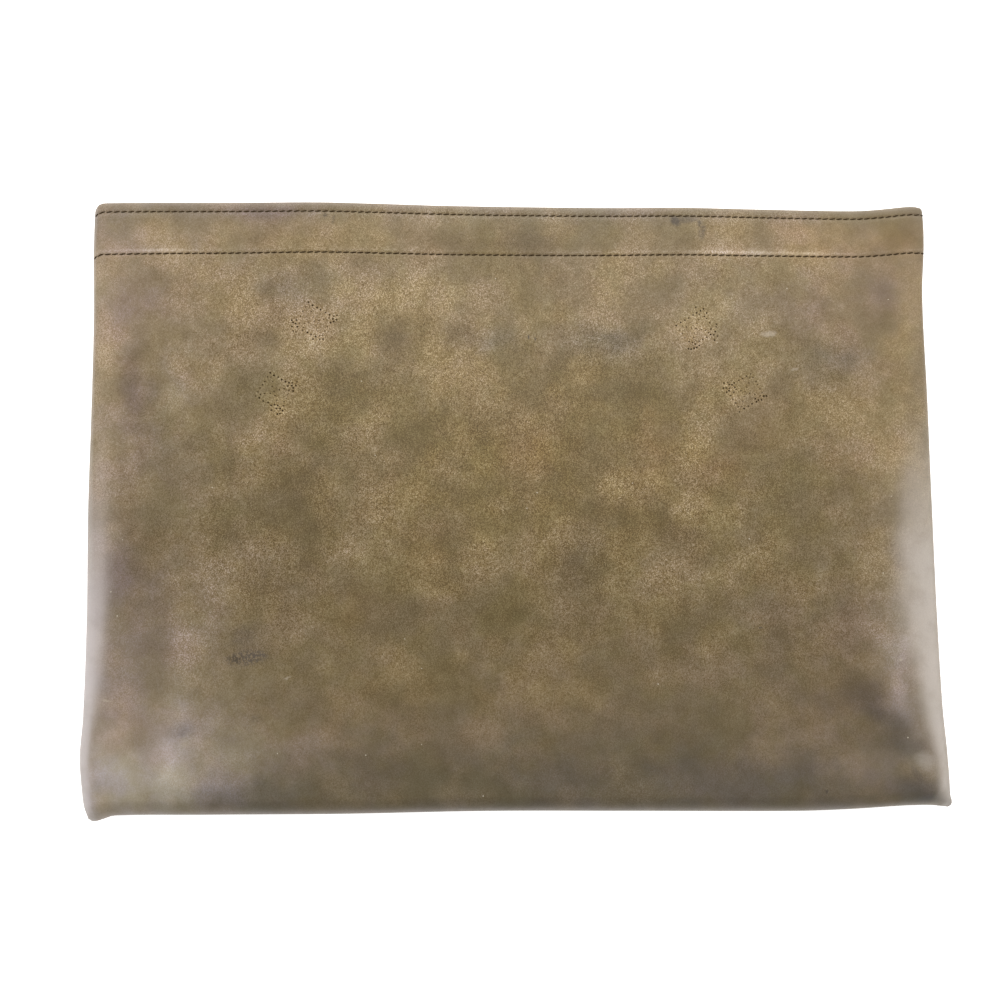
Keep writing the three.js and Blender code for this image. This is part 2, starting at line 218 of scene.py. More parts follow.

# The clouds on the front, charted tint by tint: across, up, half length, half width, strength and,
# where it isn't level, turn. Most are the antiqued finish; the sheen clouds and those marked below
# are painted light and shade.
Cloud = namedtuple("Cloud", "tint across up long wide strength turn", defaults=[0])
CHART = {
    "tan": (
        (-166, 262, 12, 6, 0.7), (92, 258, 14, 5, 0.3), (-98, 208, 13, 9, 0.35, 40),
        (-72, 224, 22, 13, 0.6, 80), (-38, 238, 28, 10, 0.6), (-28, 196, 24, 14, 0.6),
        (184, 212, 36, 5, 0.6, 90), (85, 170, 9, 11, 0.7), (85, 203, 26, 8, 0.35),
        (-133, 106, 9, 9, 0.5), (-70, 116, 12, 11, 0.4), (-10, 114, 9, 14, 0.5),
        (-144, 76, 10, 14, 0.6), (-82, 68, 10, 9, 0.35), (66, 102, 13, 9, 0.4), (94, 129, 17, 9, 0.4),
        (88, 76, 10, 11, 0.35), (-22, 153, 14, 14, 0.45), (-9, 35, 10, 9, 0.55),
    ),
    "dark": (
        (5, 261, 11, 9, 0.6), (-173, 189, 9, 15, 0.35), (-114, 214, 9, 8, 0.4),
        (-53, 214, 11, 9, 0.65, 60), (-97, 144, 13, 12, 0.75), (-128, 168, 18, 4, 0.4, 92),
        (-42, 170, 13, 8, 0.55, 20), (20, 236, 11, 5, 0.35, 95), (73, 234, 14, 10, 0.4, 60),
        (22, 194, 12, 9, 0.4, -50), (29, 170, 10, 13, 0.5), (44, 133, 17, 9, 0.5),
        (-94, 120, 17, 8, 0.6, 80), (-110, 102, 10, 8, 0.35), (-51, 88, 11, 9, 0.45),
        (-58, 50, 13, 9, 0.35), (26, 108, 12, 11, 0.55), (70, 80, 10, 17, 0.4),
        (120, 76, 11, 11, 0.4), (30, 70, 110, 26, 0.1), (-160, 118, 44, 14, 0.08, 92),
        (-164, 42, 20, 6, 0.28, 86), (170, 97, 7, 7, 0.32), (-182, 100, 6, 9, 0.5),
        (-66, 247, 8, 6, 0.45), (-90, 247, 26, 9, 0.22), (5, 248, 34, 14, 0.25),
        (-106, 110, 24, 22, 0.24), (18, 84, 52, 18, 0.2), (8, 253, 10, 9, 0.4), (-25, 213, 8, 7, 0.5),
        (-30, 110, 8, 11, 0.55), (69, 123, 13, 9, 0.55), (1, 167, 7, 9, 0.4), (57, 219, 8, 7, 0.3),
        (78, 33, 12, 9, 0.22),
    ),
    "olive": (
        (22, 261, 86, 7, 0.45), (-76, 190, 15, 10, 0.8, 20), (-120, 190, 16, 10, 0.7),
        (-86, 170, 13, 9, 0.8, 40), (-12, 166, 14, 20, 0.35), (54, 186, 10, 16, 0.7),
        (124, 148, 12, 10, 0.7), (-131, 127, 12, 9, 0.6), (-3, 88, 12, 9, 0.7),
    ),
    "red": (
        (-114, 262, 20, 6, 0.35), (-30, 258, 22, 6, 0.35), (133, 262, 12, 7, 0.3),
        (155, 262, 40, 10, 0.5), (-112, 232, 18, 12, 0.3, 20), (-108, 168, 10, 12, 0.4),
        (5, 164, 11, 11, 0.8), (65, 166, 10, 13, 0.9), (95, 154, 11, 11, 0.9),
        (150, 158, 11, 13, 0.4), (-72, 90, 12, 9, 0.8), (-40, 118, 10, 10, 0.5),
        (-167, 38, 15, 11, 0.8), (117, 173, 13, 17, 0.6), (180, 260, 12, 12, 0.5),
    ),
    "plum": (
        (-112, 272, 20, 4, 1, 2), (-172, 196, 30, 8, 0.9, 92), (-168, 238, 16, 14, 0.6, 90),
        (146, 228, 24, 18, 0.5), (172, 232, 16, 9, 0.7, 90), (-172, 112, 20, 12, 0.9, 90),
        (-160, 74, 11, 13, 0.3), (150, 88, 12, 18, 0.5), (150, 54, 18, 12, 0.6),
        (-158, 80, 50, 46, 0.32, 90), (180, 90, 60, 22, 0.2, 95), (-182, 38, 16, 10, 0.45, 90),
        (118, 98, 10, 13, 0.5), (150, 45, 50, 36, 0.3), (-40, 40, 80, 26, 0.25),
    ),
    "amber": (
        (10, 160, 105, 62, 0.78),
    ),
    "pale": (
        (155, 262, 44, 11, 0.4), (-110, 262, 70, 10, 0.25), (110, 255.5, 13, 3, 0.45, -3),
        (132, 255, 10, 3, 0.35), (-176, 232, 11, 13, 0.4), (-174, 162, 10, 12, 0.22),
        (162, 234, 34, 20, 0.2), (-160, 213, 17, 16, 0.22), (-160, 250, 38, 28, 0.45),
        (-146, 190, 20, 13, 0.6), (-168, 222, 22, 14, 0.3), (-156, 152, 14, 14, 0.35),
        (-112, 150, 24, 12, 0.22), (146, 236, 18, 24, 0.22), (-80, 32, 12, 10, 0.3),
        (-112, 206, 16, 12, 0.2), (153, 22, 14, 7, 0.6), (162, 11, 9, 5, 0.5),
        (0, 245, 210, 45, 0.55), (120, 210, 90, 60, 0.2), (166, 168, 34, 16, 0.58, 92),
        # The first two on the next line are painted reflection along the right and left side seams.
        (186, 148, 30, 15, 0.55, 95), (-188, 180, 80, 12, 1.12, 90), (176, 156, 9, 12, 0.4),
        (156, 17, 8, 6, 0.38), (-185, 167, 6, 10, 0.35), (-177, 73, 16, 8, 0.38),
        (-164, 47, 8, 8, 0.3), (-122, 175, 22, 20, 0.28), (117, 173, 13, 17, 0.25),
        (-97, 33, 26, 14, 0.22), (122, 34, 16, 9, 0.3), (144, 20, 12, 7, 0.3), (-92, 221, 9, 8, 0.15),
        (-109, 189, 9, 8, 0.2), (83, 218, 9, 8, 0.15), (105, 188, 9, 8, 0.25),
    ),
    # Painted reflections on the rounded sides and the lower left corner, and a painted highlight on a
    # crease by the lower right corner
    "sheen_grey": (
        (-156, 190, 16, 12, 0.14, 60), (100, 230, 18, 12, 0.1), (172.5, 50, 16, 5, 0.26, 100),
        (181, 21, 6, 4, 0.45, -15), (174, 64, 44, 12, 0.4, 100), (-176, 150, 110, 20, 0.08, 90),
        (-177, 92, 30, 10, 0.1, 90), (-152, 66, 40, 30, 0.18, 60), (-164, 24, 46, 27, 0.54, 10),
        (171, 70, 6, 9, 0.2),
    ),
    # Painted reflection on the rounded lower left corner
    "sheen_white": (
        (-185, 6, 12, 8, 0.45), (-182, 34, 22, 8, 0.38, 90), (-151, 29, 25, 6, 0.39, 86),
        (-172, 18, 18, 9, 0.44), (-146, 14, 20, 10, 0.38), (-125, 26, 22, 14, 0.28),
    ),
    "slate": (
        (-8, 214, 12, 8, 0.35), (44, 212, 20, 8, 0.6, -5), (150, 204, 16, 11, 0.45),
        # On the next line, painted shade: the first two in the dents by the lower right corner, the third
        # along the whole foot.
        (178, 9, 11, 5, 0.5, -15), (181, 4, 9, 2.2, 0.5), (25, 12, 165, 24, 0.57),
        (-122, 9, 28, 7, 0.5), (-104, 238, 16, 8, 0.35), (32, 112, 9, 13, 0.25),
    ),
    "haze": (
        (-176, 232, 14, 16, 0.25), (162, 234, 34, 20, 0.25), (-165, 258, 40, 14, 0.45),
        (-162, 160, 56, 22, 0.45, 90), (176, 10, 14, 6, 0.6), (105, 46, 85, 40, 0.4),
        (-95, 24, 40, 24, 0.42), (-184, 270, 14, 8, 0.6), (40, 272, 26, 6, 0.5),
        (-188, 190, 70, 10, 0.25, 90), (-180, 90, 60, 12, 0.3, 90), (-152, 66, 40, 32, 0.3, 60),
        (140, 10, 62, 14, 0.5), (-188, 10, 10, 9, 0.6), (85, 12, 60, 9, 0.3),
    ),
    "smoke": (
        # The second and third are painted shade of the buckles by the lower right corner.
        (-148, 37, 6, 5, 0.48), (162, 44, 16, 7, 0.65, -48), (172, 28, 11, 4.5, 0.55, -12),
        (-183, 66, 16, 3, 0.2, 90),
    ),
}
CLOUDS = [Cloud(tint, *place) for tint, places in CHART.items() for place in places]
CLOUD_GAIN = 1.8
FRONT_SEED = 21

# The clouds of the back, which lies on the table, are random
BACK_SEED = 31
BACK_CLOUD_SEED = 8
BACK_CLOUD_COUNT = 60
BACK_TINTS = ("tan", "dark", "olive", "red", "plum")
BACK_REACH = 190
BACK_LONG = (8, 26)
BACK_WIDE = (6, 16)
BACK_STRENGTH = (0.2, 0.7)

# How the edges of the clouds are broken up; a narrow cloud is shaken less
Shake = namedtuple("Shake", "reach size")
SHAKES = (Shake(5, 11), Shake(2.5, 4.5))
LOOSE_WIDTH = 14

# The pale strips along the side seams, a painted reflection of the bright room on the rounded sides,
# by height above the foot: how wide, how soft and how strong
Strip = namedtuple("Strip", "up left_width left_blur left_strength right_width right_blur right_strength")
STRIPS = (
    Strip(0, 5.0, 0.8, 0.55, 4.5, 1.2, 0.90),
    Strip(10, 5.5, 0.8, 0.76, 6.2, 1.2, 0.80),
    Strip(22, 5.9, 0.8, 0.80, 6.8, 1.2, 0.76),
    Strip(39, 6.3, 0.9, 0.80, 9.6, 1.6, 0.78),
    Strip(60, 8.4, 1.6, 0.90, 13.0, 1.8, 0.78),
    Strip(87, 10.0, 1.5, 0.78, 17.0, 2.8, 0.74),
    Strip(113, 10.2, 1.8, 0.58, 18.2, 2.6, 0.68),
    Strip(130, 10.4, 2.0, 0.38, 17.4, 2.5, 0.48),
    Strip(150, 10.4, 2.2, 0.18, 15.0, 2.6, 0.32),
    Strip(176, 9.0, 2.2, 0.06, 10.0, 2.4, 0.08),
    Strip(277, 4.0, 1.2, 0.10, 3.0, 1.2, 0.06),
)

# Where the leather above the hem's lower row is paler: rubbing, and a painted highlight where the hem's
# swell catches the light
RubAndHighlight = namedtuple("RubAndHighlight", "across reach strength")
RUBS_AND_HIGHLIGHTS = (RubAndHighlight(-162, 12, 0.5), RubAndHighlight(-60, 16, 0.2), RubAndHighlight(94, 12, 0.9), RubAndHighlight(114, 9, 1.1), RubAndHighlight(133, 9, 0.6))
RUB_AND_HIGHLIGHT_BASE = 0.35
RUB_AND_HIGHLIGHT_SWING = 0.25
RUB_AND_HIGHLIGHT_SWING_SIZE = 25
RUB_AND_HIGHLIGHT_MOST = 1.2
LOWER_RUB_AND_HIGHLIGHT_LIFT = 1.4
LOWER_RUB_AND_HIGHLIGHT_REACH = 0.8

# The upper row has a faint rub on both sides, and greyer leather around it
UPPER_RUB = 0.16
UPPER_RUB_AWAY = 1.3
UPPER_RUB_REACH = 0.6
UPPER_HAZE_LIFT = 0.5
UPPER_HAZE_REACH = 4.0

# Painted reflection at the foot and a dimmer outer rim on the right, scuffing at the mouth and its fold,
# and grime with the thread's painted shadow along the thread
FOOT_SHEEN = 0.28
MOUTH_WEAR = 0.25
FOLD_WEAR = 0.3
WEAR_AND_SHEEN_REACH = 2.0
RIM_DULL = 0.45
RIM_REACH = 3.0
THREAD_DIRT_AND_SHADOW = 0.25
THREAD_DIRT_AND_SHADOW_REACH = 0.5

# How sandy the finish is: it grows from the foot up, and is less at the sides, the top and the hem
GRAIN_LEAST = 0.36
GRAIN_GROWS = (15, 115)
GRAIN_TOP = (170, 230)
GRAIN_SIDE = (120, 180)
SIDE_LOSS_LEFT = 0.4
SIDE_LOSS_RIGHT = 0.3
SIDE_LOSS_TOP = 0.35
TOP_LOSS = 0.12
HEM_LOSS = 0.24
HEM_LINE = HEIGHT - HEM_DEPTH
HEM_BLUR = 2

# Stains, scratches and a few painted highlights, sharper than the clouds: half length, half width,
# turn, how broken up, and the colour that they bring
Mark = namedtuple("Mark", "across up long wide turn broken colour strength")
INK = (0.062, 0.050, 0.040)
SOOT = (0.034, 0.023, 0.009)
GRIME = (0.052, 0.040, 0.031)
BARE = (0.42, 0.36, 0.28)
PAINTED_HIGHLIGHT = (0.29, 0.255, 0.21)
MARKS = (
    Mark(-121, 71, 12, 10, 10, 0.3, INK, 0.17),
    Mark(-120, 69.9, 12, 4.6, 6, 0.9, INK, 0.75),
    Mark(-126, 69.2, 5.5, 3.2, 8, 0.8, SOOT, 0.45),
    Mark(-115.5, 70.8, 6, 2.6, 10, 0.8, INK, 0.4),
    Mark(-122, 80, 7.5, 6, 20, 0.5, INK, 0.3),
    Mark(-115.2, 43.2, 3.5, 3, 0, 0.8, INK, 0.3),
    Mark(-147.7, 37.5, 4, 2.4, 40, 0.6, INK, 0.22),
    Mark(74.8, 269.4, 3.8, 3.2, -60, 0.3, GRIME, 0.8),
    Mark(80.5, 270.3, 8.5, 2.6, 0, 0.3, GRIME, 0.55),
    Mark(86.2, 268.2, 2.2, 1.6, 70, 0.4, INK, 0.6),
    Mark(87.2, 264.4, 5.6, 2.6, 82, 0.5, GRIME, 0.6),
    Mark(-87.3, 271.3, 1.7, 1.4, 30, 0.5, SOOT, 0.75),
    Mark(-83.7, 269.3, 3.4, 1, 85, 0.7, SOOT, 0.65),
    Mark(116.9, 215.7, 5, 2, 4, 0.3, BARE, 0.55),
    Mark(128.4, 199, 3, 0.8, 14, 0.2, BARE, 0.4),
    Mark(-181, 51.8, 3.6, 0.7, -3, 0.5, BARE, 0.45),
    Mark(-102, 61, 2.4, 0.7, 20, 0.4, BARE, 0.35),
    Mark(5.8, 214.3, 1.8, 0.6, 88, 0, GRIME, 0.9),
    Mark(8.8, 213.3, 1.4, 0.5, 80, 0, GRIME, 0.7),
    Mark(108.7, 81.2, 1, 0.7, 0, 0, GRIME, 0.7),
    Mark(172, 66.4, 1.2, 0.8, 0, 0, BARE, 0.6),
    Mark(136.9, 8.3, 1.6, 0.7, 85, 0, GRIME, 0.7),
    # Painted highlights on a crease by the lower right corner, here, and on the two lower corners below
    Mark(181.5, 21.6, 6.5, 5, -30, 0.3, PAINTED_HIGHLIGHT, 0.55),
    Mark(177.5, 15.5, 6, 2.2, -55, 0.3, INK, 0.35),
    Mark(190, 5, 7, 4.5, 50, 0.2, PAINTED_HIGHLIGHT, 0.45),
    Mark(-185.5, 1.5, 4.5, 3, 0, 0.2, PAINTED_HIGHLIGHT, 0.4),
)

# The sewn tabs that are gone: squares of needle holes, how clear the holes of each side and
# diagonal are, and the corners where they crowd
Tab = namedtuple("Tab", "across up long wide turn sides crowded")
TABS = (
    Tab(-91.9, 221.6, 13.4, 12.0, -31.5, (1.0, 0.6, 1.0, 0.6, 0.45, 0.4),
        ((-1, -1), (-1, -1), (1, -1), (1, 1))),
    Tab(-109.4, 189.1, 12.4, 12.4, -30.5, (1.0, 0.5, 1.0, 0.5, 0.4, 0.5), ((1, 1), (1, 1), (1, -1))),
    Tab(83.2, 218.2, 13.4, 12.0, 32.5, (1.0, 0.6, 1.0, 0.5, 0.45, 0.45), ((1, -1), (-1, -1), (1, 1))),
    Tab(105.2, 188.4, 13.2, 12.6, 31.0, (0.9, 0.5, 0.9, 0.6, 0.5, 0.4), ((-1, 1), (-1, 1), (1, -1))),
)
TAB_LINES = (
    ((-1, 1), (1, 1)),
    ((1, 1), (1, -1)),
    ((1, -1), (-1, -1)),
    ((-1, -1), (-1, 1)),
    ((-1, 1), (1, -1)),
    ((1, 1), (-1, -1)),
)


# Shape

def curve_through(rows, column):
    """A smooth curve through one column of a table, as a function of the table's first column."""
    at = np.array([row[0] for row in rows], float)
    value = np.array([getattr(row, column) for row in rows], float)
    before = np.maximum(np.arange(len(at)) - 1, 0)
    after = np.minimum(np.arange(len(at)) + 1, len(at) - 1)
    slope = (value[after] - value[before]) / (at[after] - at[before])

    def curve(place):
        t = np.clip(place, at[0], at[-1])
        i = np.clip(np.searchsorted(at, t, side="right") - 1, 0, len(at) - 2)
        step = at[i + 1] - at[i]
        s = (t - at[i]) / step
        rest = 1 - s
        ends = value[i] * (1 + 2 * s) * rest**2 + value[i + 1] * s**2 * (3 - 2 * s)
        return ends + step * s * rest * (slope[i] * rest - slope[i + 1] * s)

    return curve


section = {column: curve_through(SECTIONS, column) for column in Section._fields[1:]}
strip = {column: curve_through(STRIPS, column) for column in Strip._fields[1:]}
mouth_rise = curve_through(MOUTH, "rise")
foot_rise = curve_through(FOOT, "rise")


def oval(row, across, up):
    """1 in the middle of a fold or cloud, falling off to 0 around it."""
    turn = math.radians(row.turn)
    dx, dy = across - row.across, up - row.up
    lengthwise = (dx * math.cos(turn) + dy * math.sin(turn)) / row.long
    crosswise = (dy * math.cos(turn) - dx * math.sin(turn)) / row.wide
    return np.exp(-lengthwise**2 - crosswise**2)


def soft_noise(across, up, size, seed):
    """Smooth random values of about -1 to 1 that change over the given size."""
    lattice = np.random.default_rng(seed).uniform(-1, 1, (LATTICE, LATTICE))
    x, y = across / size + LATTICE_ACROSS, up / size + LATTICE_UP
    i, j = np.floor(x).astype(int), np.floor(y).astype(int)
    u, v = x - i, y - j
    u, v = u * u * (3 - 2 * u), v * v * (3 - 2 * v)
    i0, i1, j0, j1 = i % LATTICE, (i + 1) % LATTICE, j % LATTICE, (j + 1) % LATTICE
    low = lattice[j0, i0] * (1 - u) + lattice[j0, i1] * u
    high = lattice[j1, i0] * (1 - u) + lattice[j1, i1] * u
    return low * (1 - v) + high * v


def bell(away, reach):
    """1 at no distance, falling off to 0 over the reach."""
    return np.exp(-(away / reach) ** 2)


def ramp(value, start, end):
    """0 up to start, 1 from end on, and even between them."""
    return np.clip((value - start) / (end - start), 0, 1)


def hem_rise(below):
    """Height that the hem adds at a distance below the mouth."""
    upper, lower = STITCH_ROWS
    sink = sum(STITCH_SINK * bell(below - row, STITCH_REACH) for row in STITCH_ROWS)
    return HEM_PUFF * np.sin(math.pi * ramp(below, upper, lower)) - sink


def column_of(values):
    return np.asarray(values)[:, None]


class Stations:
    """The columns of a panel's grid, from seam to seam, and its rows, from the foot to the mouth."""

    def __init__(self, up_steps):
        turns = QUARTER_TURN * np.arange(EDGE_STEPS) / EDGE_STEPS
        plain = np.full(ACROSS_STEPS + 1, QUARTER_TURN)
        self.across_turn = np.concatenate([turns, plain, turns[::-1]])
        self.share = np.concatenate(
            [np.zeros(EDGE_STEPS), np.linspace(0, 1, ACROSS_STEPS + 1), np.ones(EDGE_STEPS)]
        )
        columns = np.arange(len(self.share))
        self.left = columns < EDGE_STEPS
        self.right = columns > EDGE_STEPS + ACROSS_STEPS
        self.bevel = np.where(self.left, BEVEL_LEFT, BEVEL_RIGHT)

        lowest = HEM_DEPTH - HEM_SKIVE
        near_rows = {row + offset for row in STITCH_ROWS for offset in HEM_OFFSETS}
        hem = {below for below in near_rows if below < lowest} | {lowest, *HEM_PLAIN_ROWS}
        below = np.array(sorted(hem, reverse=True))
        climb = np.linspace(0, 1, up_steps + 1)
        self.up_turn = np.concatenate([turns, np.full(len(climb) + len(below), QUARTER_TURN)])
        self.climb = np.concatenate([np.zeros(EDGE_STEPS), climb, np.ones(len(below))])
        self.below = np.concatenate([np.full(EDGE_STEPS + len(climb), FAR_BELOW), below])
        rows = np.arange(len(self.climb))
        self.foot = rows < EDGE_STEPS
        self.hem = rows > EDGE_STEPS + up_steps
        self.wall = np.where(self.hem, 2 * WALL, WALL)

        # The needle's columns: every second one, and two round each edge
        middle = EDGE_STEPS + np.arange(0, ACROSS_STEPS + 1, 2)
        last = len(self.share) - 1
        half = EDGE_STEPS // 2
        self.needle = np.array([0, half, *middle, last - half, last])
        self.at_needle = np.isin(columns, self.needle).astype(float)

    def place_across(self, x_left, x_right, round_left, round_right, inset):
        reach = 1 - np.cos(self.across_turn) ** self.bevel
        left = x_left + inset + (round_left - inset) * reach
        right = x_right - inset - (round_right - inset) * reach
        start, end = x_left + round_left, x_right - round_right
        middle = start + (end - start) * self.share
        return np.where(self.left, left, np.where(self.right, right, middle))

    def place_up(self, y_foot, y_mouth, y_hem, taper, inset):
        """Heights of the rows: the topmost follow the mouth's round corners, the rest an even line."""
        reach = column_of(1 - np.cos(self.up_turn) ** BEVEL_FOOT)
        foot = y_foot + inset + (FOOT_ROUND - inset) * reach
        start, end = y_foot + FOOT_ROUND, y_hem - HEM_DEPTH * taper
        middle = start + (end - start) * column_of(self.climb)
        below = column_of(np.where(self.hem, self.below, 0)) * taper
        edge = y_mouth + (y_hem - y_mouth) * np.clip(below / CORNER_DEPTH, 0, 1)
        return np.where(column_of(self.foot), foot, np.where(column_of(self.hem), edge - below, middle))


def panel_grid(side, stations, inset, depth, outer):
    """One face of a panel, and each point's place in the flat pouch. side is 1 for the front."""
    inset = np.broadcast_to(column_of(inset), (len(stations.climb), 1))
    level = np.full((1, 1), float(HEIGHT))
    flat_up = stations.place_up(np.zeros((1, 1)), level, level, 1.0, np.zeros((1, 1)))
    round_left, round_right = section["round_left"](flat_up), section["round_right"](flat_up)
    flat_across = stations.place_across(-WIDTH / 2, WIDTH / 2, round_left, round_right, 0.0)
    x_left = -WIDTH / 2 - section["left"](flat_up)
    x_right = WIDTH / 2 + section["right"](flat_up)
    x = stations.place_across(x_left, x_right, round_left, round_right, inset)
    y_mouth = HEIGHT + mouth_rise(flat_across)
    y_hem = HEIGHT + mouth_rise(np.clip(flat_across, CORNER_LEFT, CORNER_RIGHT))
    taper = 1 - HEM_TAPER * flat_across / (WIDTH / 2)
    y = stations.place_up(foot_rise(flat_across), y_mouth, y_hem, taper, inset)
    seam = section["thick"](flat_up) / 2
    flat_up = np.broadcast_to(flat_up, x.shape)

    hem = hem_rise(column_of(stations.below))
    crown = seam - SEAM_GAP / 2 + (hem if side > 0 else np.minimum(hem, 0))
    if side > 0:
        crown = crown + sum(fold.rise * oval(fold, flat_across, flat_up) for fold in FOLDS)
    if outer:
        crown = crown + surface_relief(side, stations, flat_across, flat_up)
    swell = np.sin(stations.across_turn) ** stations.bevel
    swell = swell * column_of(np.sin(stations.up_turn) ** BEVEL_FOOT)
    height = SEAM_GAP / 2 + depth + (crown - inset - depth) * swell
    if outer:
        groove = SEAM_GROOVE * np.exp(-height / SEAM_GROOVE_REACH)
        x = x + groove * (stations.left.astype(float) - stations.right)
        y = y + groove * column_of(stations.foot)
    points = np.stack([x, y, seam + side * height], axis=-1)
    return points, flat_across, flat_up


def surface_relief(side, stations, across, up):
    """Slow waves of a panel's outer face, and the leather left standing between two stitches."""
    waves = sum(wave.height * soft_noise(across, up, wave.size, wave.seed) for wave in WAVES)
    if side < 0:
        waves = np.minimum(waves, 0)
    for row in STITCH_ROWS:
        near = column_of(bell(stations.below - row, BRIDGE_REACH))
        waves = waves + BRIDGE_RISE * near * stations.at_needle
    return waves


# Paint

PLAIN_TONE = np.array([1, 1, 1, 0.5])


def shake_of(across, up, seed):
    """Random shifts, in millimetres, that break up the edges of the clouds."""
    shakes = enumerate(SHAKES)
    return sum(shake.reach * soft_noise(across, up, shake.size, seed + k) for k, shake in shakes)


def lay(tone, tint, share):
    """Lays a share of a tint over a tone."""
    tone[..., :3] *= 1 + share[..., None] * (np.array(tint[:3]) - 1)


def tone_of(clouds, seed, across, up, below):
    """The leather's tint and lean at each point."""
    warp = shake_of(across, up, seed)
    lift = shake_of(across, up, seed + len(SHAKES))
    tone = np.broadcast_to(PLAIN_TONE, across.shape + (4,)).copy()
    for cloud in clouds:
        tint = TINTS[cloud.tint]
        loose = min(1.0, min(cloud.wide, cloud.long) / LOOSE_WIDTH)
        share = cloud.strength * oval(cloud, across + loose * warp, up + loose * lift)
        lay(tone, tint, CLOUD_GAIN * share)
        tone[..., 3] += share * tint.lean

    upper, lower = STITCH_ROWS
    swing = soft_noise(across, up, RUB_AND_HIGHLIGHT_SWING_SIZE, seed + 2 * len(SHAKES))
    along = RUB_AND_HIGHLIGHT_BASE + RUB_AND_HIGHLIGHT_SWING * swing
    for rub_and_highlight in RUBS_AND_HIGHLIGHTS:
        along = along + rub_and_highlight.strength * bell(across - rub_and_highlight.across, rub_and_highlight.reach)
    # Paler just above the lower row: rubbing, and a painted highlight on the hem's swell
    rub_and_sheen = along * bell(below - lower + LOWER_RUB_AND_HIGHLIGHT_LIFT, LOWER_RUB_AND_HIGHLIGHT_REACH)
    rub_and_sheen = rub_and_sheen + UPPER_RUB * bell(np.abs(below - upper) - UPPER_RUB_AWAY, UPPER_RUB_REACH)
    lay(tone, TINTS["sheen_grey"], np.clip(rub_and_sheen, 0, RUB_AND_HIGHLIGHT_MOST))
    lay(tone, TINTS["haze"], bell(below - upper + UPPER_HAZE_LIFT, UPPER_HAZE_REACH))
    return tone


def grain_of(across, up):
    """How sandy the leather is at each point."""
    rise, top = ramp(up, *GRAIN_GROWS), ramp(up, *GRAIN_TOP)
    loss = np.where(across > 0, SIDE_LOSS_RIGHT + SIDE_LOSS_TOP * top, SIDE_LOSS_LEFT)
    side = ramp(np.abs(across), *GRAIN_SIDE) * loss
    hem = ramp(up, HEM_LINE - HEM_BLUR, HEM_LINE + HEM_BLUR)
    grown = GRAIN_LEAST + (1 - GRAIN_LEAST) * rise * rise * (3 - 2 * rise)
    return grown * (1 - side) * (1 - TOP_LOSS * top) * (1 - HEM_LOSS * hem)


def strip_sheen(side, inward, up):
    """Painted reflection of the pale strip along one side, by the distance in from its seam."""
    width, blur, strength = (strip[f"{side}_{part}"](up) for part in ("width", "blur", "strength"))
    return strength / (1 + np.exp((inward - width) / blur))


def sheen_and_wear_of(points, up, below):
    """How pale and grey the leather is painted: a painted reflection along the side edges and the foot,
    and scuffing at the mouth's fold.
    """
    x, y = points[..., 0], points[..., 1]
    in_left, in_right = x - x[:, :1], x[:, -1:] - x
    left = strip_sheen("left", in_left, up)
    right = strip_sheen("right", in_right, up)
    # The right strip's painted reflection is dimmer at its outer rim.
    right = right * (1 - RIM_DULL + RIM_DULL * ramp(in_right, 0, RIM_REACH))
    foot = FOOT_SHEEN * bell(y - y[:1], WEAR_AND_SHEEN_REACH)
    mouth = MOUTH_WEAR * bell(below, WEAR_AND_SHEEN_REACH)
    return np.clip(np.maximum(np.maximum(left, right), np.maximum(foot, mouth)), 0, 1)


# Panels

def linked(name, data):
    """A new object that stands in the scene."""
    piece = bpy.data.objects.new(name, data)
    bpy.context.collection.objects.link(piece)
    return piece


class Shell:
    """Collects the points, faces and paint of one closed leather panel."""

    def __init__(self, side):
        self.side = side
        self.points, self.tones, self.states, self.faces = [], [], [], []
        self.count = 0

    def add(self, points, tone, wear_and_sheen=0.0, flesh=0.0, pit=0.0, grain=0.5):
        """Adds points with their tint, painted reflection and scuffing, raw flesh side, painted shade and
        grime, and grain; gives their numbers.
        """
        shape = points.shape[:-1]
        self.points.append(points.reshape(-1, 3))
        self.tones.append(np.broadcast_to(tone, shape + (4,)).reshape(-1, 4))
        state = [np.broadcast_to(value, shape) for value in (wear_and_sheen, flesh, pit, grain)]
        self.states.append(np.stack(state, axis=-1).reshape(-1, 4))
        numbers = self.count + np.arange(int(np.prod(shape))).reshape(shape)
        self.count += numbers.size
        return numbers

    def face(self, *corners):
        self.faces.append(corners if self.side > 0 else corners[::-1])

    def strip(self, first, second, skip=()):
        for i in range(len(first) - 1):
            if i not in skip:
                self.face(first[i], first[i + 1], second[i + 1], second[i])

    def build(self, name, shift):
        used, order = np.unique(np.concatenate(self.faces), return_inverse=True)
        ends = np.cumsum([len(face) for face in self.faces])
        points = (np.concatenate(self.points)[used] + shift) * MM
        mesh = bpy.data.meshes.new(name)
        mesh.from_pydata(points.tolist(), [], [face.tolist() for face in np.split(order, ends[:-1])])
        for attribute, rows in (("tone", self.tones), ("state", self.states)):
            layer = mesh.attributes.new(attribute, "FLOAT_COLOR", "POINT")
            layer.data.foreach_set("color", np.concatenate(rows)[used].astype(np.float32).ravel())
        mesh.shade_smooth()
        mesh.set_sharp_from_angle(angle=SHARP_ANGLE)
        return linked(name, mesh)


def seam_path(grid):
    """The left, foot and right seams of a grid of point numbers, from mouth to mouth."""
    return np.concatenate([grid[::-1, 0], grid[0, 1:-1], grid[:, -1]])


